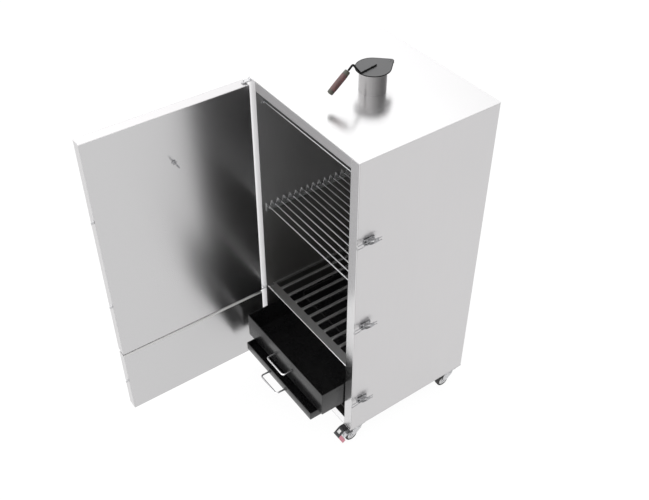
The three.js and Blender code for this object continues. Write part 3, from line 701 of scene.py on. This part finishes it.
def make_hinges():
    pin = CABINET.inverted() @ PIN
    pin_radius, plate, gap = 4, 4, 0.3
    upper = extent("upper_door_skin", DOOR)
    lower = extent("lower_door_skin", DOOR)
    tabs = {
        "top": upper[1].z + 2.5,
        "middle": (lower[1].z + upper[0].z - plate) / 2,
        "bottom": extent("base_panel")[0].z - gap - plate,
    }
    for level, z in tabs.items():
        low, high = extent(f"hinge_bracket_{level}")
        back = high.y if level == "bottom" else -gap
        bm = bmesh.new()
        wide = 7 if level == "top" else 12
        nose = arc(pin.x, pin.y, wide, math.radians(340), math.pi, 10)
        root = pin.x + wide + 2
        add_plate(bm, [(root, back), (root, pin.y), *nose, (pin.x - wide, back)], z, z + plate)
        pin_low = max(low.z, z) if level == "bottom" else low.z
        length = (z + plate if level == "top" else high.z) - pin_low
        pin_profile = [(0, 0), (pin_radius - 1, 0), (pin_radius, 1.2), (pin_radius, length - 1.2),
                       (pin_radius - 1, length), (0, length)]
        add_turned(bm, pin_profile, (pin.x, pin.y, pin_low), UP, 24, finish=1)
        washer = [(pin_radius + 0.2, 0), (8, 0), (8, 1), (pin_radius + 0.2, 1)]
        under, over = z - 1.2, z + plate + 0.2
        for washer_z in {"top": [under], "middle": [under, over], "bottom": [over]}[level]:
            add_turned(bm, washer, (pin.x, pin.y, washer_z), UP, 24, around=True)
        if level == "top":
            upright = rounded((pin.x - 6, pin.x + 8), (z + plate, high.z), 1.5)
            add_plate(bm, upright, -3 - gap, -gap, place=ALONG_Y)
        if level != "bottom":
            for weld_z in (z, z + plate):
                add_bar(bm, [(pin.x - wide + 1, -1.2, weld_z), (pin.x + wide, -1.2, weld_z)], 1.1, 8)
        piece(f"hinge_{level}", bm, [CASTER, LATCH], "cabinet", [f"hinge_bracket_{level}"],
              bevel=0.4)


# ---------- draw latches ----------
def make_latch(level):
    base, lever, bail = (f"latch_{part}_{level}" for part in ("base", "lever", "bail"))
    keeper = f"keeper_{level}"
    low, high = extent(base)
    wall, z = low.x, (low.z + high.z) / 2
    pivot_x, pivot_y = wall + 6.7, 34
    half, sheet, ear_sheet = 10.5, 2, 1.5
    bm = bmesh.new()
    add_plate(bm, rounded((24, 67), (z - half, z + half), 3), wall, wall + sheet, place=ALONG_X)
    ear = [(wall, pivot_y - 8), (wall + 7, pivot_y - 6.5), (wall + 10.4, pivot_y - 3),
           (wall + 10.7, pivot_y + 2), (wall + 9, pivot_y + 6), (wall, pivot_y + 16)]
    for side in (z - half, z + half - ear_sheet):
        add_plate(bm, ear, side, side + ear_sheet)
    add_bar(bm, [(pivot_x, pivot_y, z - 10), (pivot_x, pivot_y, z + 10)], 2, 16)
    for way in (-1, 1):
        add_head(bm, (pivot_x, pivot_y, z + half * way), (0, 0, way), 3, 1.2)
        for y in (27.5, 63):
            add_head(bm, (wall + sheet, y, z + 6.5 * way), RIGHT, 2.2, 1.1)
    piece(f"latch_plate_{level}", bm, LATCH, "cabinet", [base], bevel=0.3)

    low, high = extent(lever)
    bail_x, bail_y = wall + 11.7, 48
    under, top = pivot_x + 8, pivot_x + 10
    half = 8.5
    bm = bmesh.new()
    cheek = [(pivot_x - 3, pivot_y - 3), (pivot_x + 2.4, pivot_y - 3.6), (bail_x + 4, pivot_y + 9),
             (top, bail_y + 9), (top, bail_y + 12), (under, bail_y + 12), (bail_x - 4, bail_y + 4),
             (pivot_x - 3.5, pivot_y + 6)]
    holes = [circle(pivot_x, pivot_y, 2.6, 16), circle(bail_x, bail_y, 2.0, 16)]
    for side in (z - half, z + half - sheet):
        add_plate(bm, cheek, side, side + sheet, holes=holes)
    # The pressing blade is stamped with a rib and ends in two prongs.
    add_plate(bm, rounded((low.y + 24, high.y - 12), (z - half, z + half), 2.5), under, top, place=ALONG_X)
    rib = rounded((low.y + 28, high.y - 15), (z - 2.5, z + 2.5), 2)
    add_plate(bm, rib, top - 0.1, top + 0.6, place=ALONG_X)
    for side in (z - 5.5, z + 5.5):
        add_bar(bm, [(top - 1, high.y - 13, side), (top - 1, high.y, side)], 1.1)
    piece(f"latch_handle_{level}", bm, LATCH, lever, [lever], bevel=0.3)

    low, high = extent(bail)
    x = (low.x + high.x) / 2
    corners = [(bail_y, 8.1), (bail_y, 4), (24, 4), (12, 7), (low.y + 1.5, 7)]
    corners += [(y, -side) for y, side in reversed(corners)]
    wire = bent([(x, y, z + side) for y, side in corners], 2.6)
    bm = bmesh.new()
    add_bar(bm, wire, 1.4)
    piece(f"latch_wire_{level}", bm, WIRE, bail, [bail], sharp=60)

    door = "lower_door" if level == "bottom" else "upper_door"
    low, high = extent(keeper, DOOR)
    inner_x, inner_y = low.x + 2.5, high.y - 2.5
    hook = [(low.x, low.y), (inner_x, low.y), (inner_x, inner_y), (high.x, inner_y), (high.x, high.y),
            (low.x, high.y), (low.x, low.y)]
    bm = bmesh.new()
    add_plate(bm, bent(hook, 0.8, 3)[1:-1], low.z, high.z)
    add_head(bm, (inner_x, (low.y + inner_y) / 2, z), RIGHT, 2.6, 1.2)
    piece(f"latch_keeper_{level}", bm, CASTER, door, [keeper], space=DOOR, bevel=0.3)


# ---------- chimney ----------
def make_chimney():
    low, high = extent("flue_pipe")
    centre, radius, wall = middle(low, high), (high.x - low.x) / 2, 1.5
    roof = extent("top_panel")[1].z
    height, seam_y = high.z - low.z, centre.y + radius
    bm = bmesh.new()
    profile = [(radius - wall, 0), (radius, 0), (radius, height - 0.7), (radius - 0.5, height),
               (radius - wall + 0.4, height), (radius - wall, height - 0.7)]
    add_turned(bm, profile, (centre.x, centre.y, low.z), UP, 72, around=True)
    add_bar(bm, [(centre.x, seam_y, roof + 2), (centre.x, seam_y, high.z - 24)], 0.8, 8)
    piece("flue_tube", bm, PIPE, "cabinet", ["flue_pipe"])

    low, high = extent("lid_bracket")
    bolt_low, bolt_high = extent("lid_pivot_bolt")
    bolt = middle(bolt_low, bolt_high)
    hole = circle(bolt.x, bolt.y, 3.5, 20)
    shelf, upright = high.z - 3, low.y + 2.7
    bm = bmesh.new()
    corners = [(low.y, low.z), (upright, low.z), (upright, shelf), (low.y, shelf)]
    add_plate(bm, corners, low.x, high.x, place=ALONG_X)
    add_plate(bm, rounded((low.x, high.x), (low.y, high.y), 3), shelf, high.z, holes=[hole])
    for x in (low.x + 0.8, high.x - 0.8):
        add_bar(bm, [(x, low.y - 0.2, low.z + 1), (x, low.y - 0.2, shelf - 1)], 1.2, 8)
    piece("lid_angle", bm, PIPE, "cabinet", ["lid_bracket"], bevel=0.3)

    lid_low, lid_high = extent("flue_lid")
    reach = (lid_high.x - lid_low.x) / 2
    tip = lid_high.y - centre.y
    # A disc drawn out to a blunt tip over the bolt, its straight sides tangent to the disc.
    tangent = math.acos(reach / (tip + 8))
    outline = arc(0, 0, reach, math.pi / 2 + tangent, math.pi * 5 / 2 - tangent, 60)
    outline += [(5, tip - 1), (3, tip), (-3, tip), (-5, tip - 1)]
    # The lower face is bright and a little wider. A black bar round its edge is painted shade on the lid's
    # rim.
    upper, lower = ([(centre.x + x * size, centre.y + y * size) for x, y in outline] for size in (1, 1.008))
    bm = bmesh.new()
    add_plate(bm, upper, lid_low.z + 1.2, lid_high.z, holes=[hole])
    add_plate(bm, lower, lid_low.z, lid_low.z + 1.1, holes=[hole], finish=2)
    rim = [Vector((*point, lid_low.z + 1.4)) for point in lower]
    join = rim[-1].lerp(rim[0], 0.5)
    add_bar(bm, [join, *rim, join], 1.6, 8, finish=1)
    piece("flue_cover", bm, [LID, BLACK_ROD, RAIL], "flue_lid", ["flue_lid"], bevel=0.3)

    bm = bmesh.new()
    add_bar(bm, [(bolt.x, bolt.y, bolt_low.z), (bolt.x, bolt.y, bolt_high.z - 0.6)], 2.9, 16)
    add_head(bm, (bolt.x, bolt.y, lid_high.z + 0.2), UP, 4.6, 1.4)
    add_hexagon(bm, (bolt.x, bolt.y, shelf - 0.3), (0, 0, -1), 5.5, 3.2)
    piece("lid_bolt", bm, LID, "cabinet", ["lid_pivot_bolt"])

    # The handle is drawn from the lid's centre, at the height of its rod.
    origin = Vector((centre.x, centre.y, lid_high.z + 2.2))
    corners = [(-2, 15, 0), (9, -56, 0), (10, -86, 40), (8.6, -102, 24)]
    bar = bent([origin + Vector(corner) for corner in corners], 4.5, 8)
    bm = bmesh.new()
    add_bar(bm, bar[:2], 2.1, 14)
    add_bar(bm, bar[1:], 3.4, 16)
    for share in (0.25, 0.7):
        spot = bar[0].lerp(bar[1], share)
        add_plate(bm, tile(spot.x, spot.y, 5, 3, 1.5), lid_high.z + 0.1, lid_high.z + 1.6)
    piece("lid_handle", bm, BLACK_ROD, "flue_lid", ["lid_handle_rod"], sharp=50)

    start, end = (origin + Vector(offset) for offset in ((8.5, -102.4, 23.6), (2, -165.4, -35.5)))
    length, down = (end - start).length, (end - start).normalized()
    wood_start, wood_end = 14, 74
    bm = bmesh.new()
    for profile, finish in (
        ([(0, 0.8), (8, 0.8), (9.2, 2.2), (9.8, 8), (10.1, wood_start - 0.1), (0, wood_start - 0.1)], 1),
        ([(0, wood_start), (10.1, wood_start), (10.5, 24), (10.5, 60), (10.1, wood_end - 0.1),
          (0, wood_end - 0.1)], 0),
        ([(0, wood_end), (10.1, wood_end), (9.9, length - 4), (8.8, length - 1), (6, length),
          (0, length)], 1),
    ):
        add_turned(bm, profile, start, down, 36, finish)
    ferrule = [(3.1, 0), (6.4, 0), (6.9, 0.2), (6.9, 0.7), (3.1, 0.7)]
    add_turned(bm, ferrule, start, down, 28, finish=2, around=True)
    add_head(bm, start + down * length, down, 3, 0.8, finish=2)
    piece("lid_wood_grip", bm, [WOOD, BURNT, BLACK_ROD], "flue_lid", ["lid_grip"], sharp=50)


# ---------- casters ----------
def make_caster(corner, braked):
    fork, wheel, pedal = f"caster_fork_{corner}", f"caster_wheel_{corner}", f"brake_pedal_{corner}"
    swivel = CABINET.inverted() @ Vector(JOINTS[f"caster_{corner}_swivel"]["pos_m"])
    axle = CABINET.inverted() @ Vector(JOINTS[f"caster_{corner}_roll"]["pos_m"])
    x, y = swivel.x, swivel.y
    floor_z = extent("base_panel")[0].z
    plate_z = floor_z - 4.3
    bm = bmesh.new()
    add_plate(bm, tile(x, y, 21, 29, 3), plate_z, floor_z - 0.2)
    for bx in (x - 14, x + 14):
        for by in (y - 22, y + 22):
            add_hexagon(bm, (bx, by, plate_z), (0, 0, -1), 4.6, 3)
    piece(f"caster_plate_{corner}", bm, CASTER, "cabinet", bevel=0.4)

    high = extent(fork)[1]
    fork_z, leg_in, leg_out = 54, 12.2, 14.7
    crown = fork_z + 4
    bm = bmesh.new()
    head = [(0, fork_z + 3), (16, fork_z + 3), (18.6, fork_z + 5), (19, fork_z + 7), (16.5, fork_z + 9),
            (16.2, fork_z + 10), (18.4, fork_z + 11), (18.8, fork_z + 13.5), (17.5, high.z), (0, high.z)]
    add_turned(bm, head, (x, y, 0), UP, 40)
    add_plate(bm, rounded((x - leg_in - 1, x + leg_in + 1), (y - 23, y + 17), 3), fork_z + 0.2, crown - 0.2)
    leg = [(y + 18, crown), (y - 24, crown), (axle.y - 9, axle.z + 4), (axle.y - 6, axle.z - 7),
           (axle.y + 6, axle.z - 7), (y + 14, fork_z - 8), (y + 18, crown)]
    for side in ((x - leg_out, x - leg_in), (x + leg_in, x + leg_out)):
        add_plate(bm, bent(leg, 4)[:-1], *side, place=ALONG_X)
    add_bar(bm, [(x - leg_out, axle.y, axle.z), (x + leg_out, axle.y, axle.z)], 4, 16)
    for way in (-1, 1):
        add_hexagon(bm, (x + leg_out * way, axle.y, axle.z), (way, 0, 0), 6, 2)
    piece(f"caster_bracket_{corner}", bm, CASTER, fork, [fork], bevel=0.3)

    radius, half, rim = axle.z, 11, 18
    bm = bmesh.new()
    tyre = [(rim, half - 1), (radius - 3, half), (radius - 1, half - 1.5), (radius, half - 4)]
    hub = [(5, half), (8, half), (9, half - 3), (16, half - 3.5), (rim, half - 1.4)]
    for finish, profile in enumerate((tyre, hub)):
        far_side = [(r, -along) for r, along in profile]
        add_turned(bm, far_side + profile[::-1], axle, RIGHT, 56, finish, around=True)
    for rivet_y, rivet_z in circle(axle.y, axle.z, 12.5, 6):
        for way in (-1, 1):
            add_head(bm, (axle.x + way * (half - 3.3), rivet_y, rivet_z), (way, 0, 0), 1.6, 1, finish=1)
    piece(f"caster_tyre_{corner}", bm, [TYRE, HUB], wheel, [wheel])

    if not braked:
        return
    low, high = extent(pedal)
    # Side-on points as (y, z): flat from the fork to a fold, then sloping down to the tip.
    fold, tip = Vector((axle.y - 27, high.z)), Vector((low.y - 9, low.z - 2.2))
    fold_under, tip_under = Vector((axle.y - 26, high.z - 3.5)), Vector((low.y - 7, low.z - 5))
    root = [(high.y, high.z - 3.5), (high.y, high.z)]
    share = 0.55
    part, part_under = fold.lerp(tip, share), fold_under.lerp(tip_under, share)
    bm = bmesh.new()
    # The left half is a black pad with a pale key; the right half is grey with a red end.
    left, right = x - 0.3, x + 0.3
    add_plate(bm, [*root, fold, tip, tip_under, fold_under], low.x - 8, left, place=ALONG_X, finish=1)
    add_plate(bm, [*root, fold, part, part_under, fold_under], right, high.x - 3, place=ALONG_X, finish=3)
    add_plate(bm, [part, tip, tip_under, part_under], right, high.x + 4, place=ALONG_X)
    slope = (tip - fold).normalized()
    tilt, up = Vector((0, slope.x, slope.y)), Vector((0, slope.y, -slope.x))
    place = Matrix((RIGHT, tilt, up)).transposed().to_4x4()
    place.translation = Vector((x - 15, fold.x, fold.y)) + tilt * 14
    add_plate(bm, tile(0, 0, 7, 7, 2), 0.1, 1.3, place=place, finish=2)
    piece(f"caster_pedal_{corner}", bm, [RED, PLASTIC, HUB, LATCH], pedal, [pedal], bevel=0.5)


# ---------- heating ----------
def make_heating():
    low, high = extent("heating_element")
    z, radius = (low.z + high.z) / 2, (high.z - low.z) / 2
    legs, back = (262, 313), 420
    left, right, front = low.x + radius, high.x - radius, low.y + radius
    corners = [(legs[0], high.y, z), (legs[0], back, z), (left, back, z), (left, front, z), (right, front, z),
               (right, back, z), (legs[1], back, z), (legs[1], high.y, z)]
    bm = bmesh.new()
    add_bar(bm, bent(corners, 24, 8), radius, 16)
    piece("element_loop", bm, ELEMENT, "cabinet", ["heating_element"])

    low, high = extent("terminal_box")
    sheet = 2
    inlet_low, inlet_high = extent("power_inlet")
    knob_low, knob_high = extent("thermostat_knob")
    knob = middle(knob_low, knob_high)
    window = rounded((inlet_low.x + 8.7, inlet_high.x - 8.7), (inlet_low.z + 2.7, inlet_high.z - 2.7), 1)
    bm = bmesh.new()
    face = rounded((low.x, high.x), (low.z, high.z), 3)
    add_plate(bm, face, high.y - sheet, high.y, holes=[window, circle(knob.x, knob.z, 4, 20)], place=ALONG_Y)
    inner = rounded((low.x + sheet, high.x - sheet), (low.z + sheet, high.z - sheet), 1.5)
    add_plate(bm, face, low.y, high.y - sheet, holes=[inner], place=ALONG_Y)
    for sx in (low.x + 8, high.x - 8):
        for sz in (low.z + 8, high.z - 8):
            add_head(bm, (sx, high.y, sz), BACK, 3.4, 1.8)
    for z in spaced(low.z + 18, low.z + 50, 5):
        louvre = rounded((low.y + 8, high.y - 8), (z - 1.5, z + 1.5), 1.2, 3)
        for near, far in ((low.x - 1.2, low.x), (high.x, high.x + 1.2)):
            add_plate(bm, louvre, near, far, place=ALONG_X)
    piece("terminal_housing", bm, PANEL, "cabinet", ["terminal_box"], bevel=0.5)

    bm = bmesh.new()
    flange = rounded((inlet_low.x, inlet_high.x), (inlet_low.z, inlet_high.z), 3)
    back, floor = inlet_high.y - 2.5, inlet_low.y + 6
    centre = middle(inlet_low, inlet_high)
    socket = tile(centre.x, centre.z, 11, 7.5, 2)
    body = tile(centre.x, centre.z, 14, 10.5, 2)
    add_plate(bm, flange, back, inlet_high.y, holes=[socket], place=ALONG_Y)
    add_plate(bm, body, floor, back - 0.05, holes=[socket], place=ALONG_Y)
    add_plate(bm, body, inlet_low.y, floor, place=ALONG_Y)
    for dx, dz in ((-6, -2), (0, 2.5), (6, -2)):
        blade = tile(centre.x + dx, centre.z + dz, 1, 2, 0.4, 2)
        add_plate(bm, blade, floor, inlet_high.y - 3, place=ALONG_Y, finish=1)
    for x in (inlet_low.x + 4.5, inlet_high.x - 4.5):
        add_head(bm, (x, inlet_high.y, centre.z), BACK, 2.4, 1.2, finish=1)
    piece("inlet_socket", bm, [PLASTIC, CHROME], "cabinet", ["power_inlet"], bevel=0.3)

    bm = bmesh.new()
    radius = (knob_high.x - knob_low.x) / 2
    start = high.y + 0.6
    depth = knob_high.y - start
    add_turned(bm, [(0, -12), (3, -12), (3, 0), (0, 0)], (knob.x, start, knob.z), BACK, 16)
    flutes, sides = 24, 96
    rings = []
    for inset, along, cut in (
        (0.4, 0, 0), (0, 1, 0), (0, 4, 0), (2, 5, 0.9), (2.4, depth - 1.5, 0.9), (3.6, depth, 0),
        (radius - 0.01, depth, 0),
    ):
        ring = []
        for u, v in circle(0, 0, 1, sides):
            r = radius - inset - cut * (1 + math.cos(flutes * math.atan2(v, u))) / 2
            ring.append(bm.verts.new((knob.x + r * u, start + along, knob.z + r * v)))
        rings.append(ring)
    join_rings(bm, rings, 0)
    bm.faces.new(rings[0])
    pointer = rounded((knob.x - 1, knob.x + 1), (knob.z + 3, knob.z + radius - 4), 0.8, 3)
    add_plate(bm, pointer, knob_high.y - 0.05, knob_high.y + 0.5, place=ALONG_Y, finish=1)
    piece("thermostat_dial", bm, [PLASTIC, DIAL], "thermostat_knob", ["thermostat_knob"])

    bm = bmesh.new()
    tick_start = radius + 1.5
    for i in range(11):
        length = 2.4 if i % 5 else 4
        tick = rounded((tick_start, tick_start + length), (-0.4, 0.4), 0.3, 2)
        add_plate(bm, tick, 0.02, 0.2, place=on_dial((knob.x, high.y, knob.z), 90 - 27 * i))
    piece("thermostat_scale", bm, PLASTIC, "cabinet")


make_shell()
make_liner()
make_food_rack()
make_hanging_rods()
make_fire_plate()
make_drawers()
make_door("upper_door")
make_door("lower_door")
make_thermometer()
make_hinges()
for level in ("top", "middle", "bottom"):
    make_latch(level)
make_chimney()
for corner in ("front_left", "front_right", "back_left", "back_right"):
    make_caster(corner, corner.startswith("front"))
make_heating()

# The wool slabs stay as they are in the frame, closed in by sheet.
for name in ("insulation", "upper_door_insulation", "lower_door_insulation"):
    NODES[name].data.materials.clear()
    NODES[name].data.materials.append(WOOL)


# ---------- studio ----------
def add_floor():
    half, level = 60, -0.0005
    bm = bmesh.new()
    corners = ((-half, -half), (half, -half), (half, half), (-half, half))
    bm.faces.new([bm.verts.new((x, y, level)) for x, y in corners])
    mesh = bpy.data.meshes.new("floor")
    bm.to_mesh(mesh)
    bm.free()
    floor = add_object("floor", mesh)
    material, tree, shader = new_material("pale_floor")
    tree.nodes.clear()
    glow = add_node(tree, "ShaderNodeEmission", Color=(1, 1, 1, 1), Strength=FLOOR_GLOW)
    matt = add_node(tree, "ShaderNodeBsdfDiffuse", Color=(0.9, 0.9, 0.9, 1))
    both = add_node(tree, "ShaderNodeMixShader", Fac=FLOOR_MATT)
    feed(tree, both, {1: glow.outputs[0], 2: matt.outputs[0]})
    add_node(tree, "ShaderNodeOutputMaterial", Surface=both.outputs[0])
    mesh.materials.append(material)


def add_sky():
    """A white studio: plain near the horizon, brighter overhead and on the left."""
    world = bpy.data.worlds.new("studio")
    bpy.context.scene.world = world
    world.use_nodes = True
    tree = world.node_tree
    up = add_node(tree, "ShaderNodeTexCoord").outputs["Generated"]
    height = add_node(tree, "ShaderNodeSeparateXYZ", Vector=up).outputs["Z"]
    strength = between(tree, height, HORIZON, OVERHEAD, 0.15, 0.75)
    toward = add_node(tree, "ShaderNodeVectorMath", {"operation": "DOT_PRODUCT"})
    feed(tree, toward, {0: up, 1: LEFT_LIGHT})
    side = between(tree, toward.outputs["Value"], 1 - SIDE_SHADE, 1 + SIDE_SHADE, -1, 1)
    light = maths(tree, "MULTIPLY", strength, side)
    feed(tree, tree.nodes["Background"], {"Color": (1, 1, 1, 1), "Strength": light})


def add_camera():
    camera = bpy.data.cameras.new("camera")
    camera.sensor_width = 36
    camera.lens = 50.1
    camera.clip_end = 200
    eye = CORNER + Vector((2.1544, -1.2604, 2.6791))
    azimuth, elevation, roll = math.radians(54.13), math.radians(41.69), math.radians(0.14)
    turn = Matrix.Rotation(azimuth, 4, "Z") @ Matrix.Rotation(math.pi / 2 - elevation, 4, "X")
    made = add_object("camera", camera)
    made.matrix_world = Matrix.Translation(eye) @ turn @ Matrix.Rotation(roll, 4, "Z")
    bpy.context.scene.camera = made


HORIZON, OVERHEAD = 1.0, 1.75
LEFT_LIGHT, SIDE_SHADE = (-0.586, -0.81, 0), 0.8
FLOOR_GLOW, FLOOR_MATT = 1.02, 0.08
add_floor()
add_sky()
add_camera()
bpy.context.scene.view_settings.view_transform = "Standard"
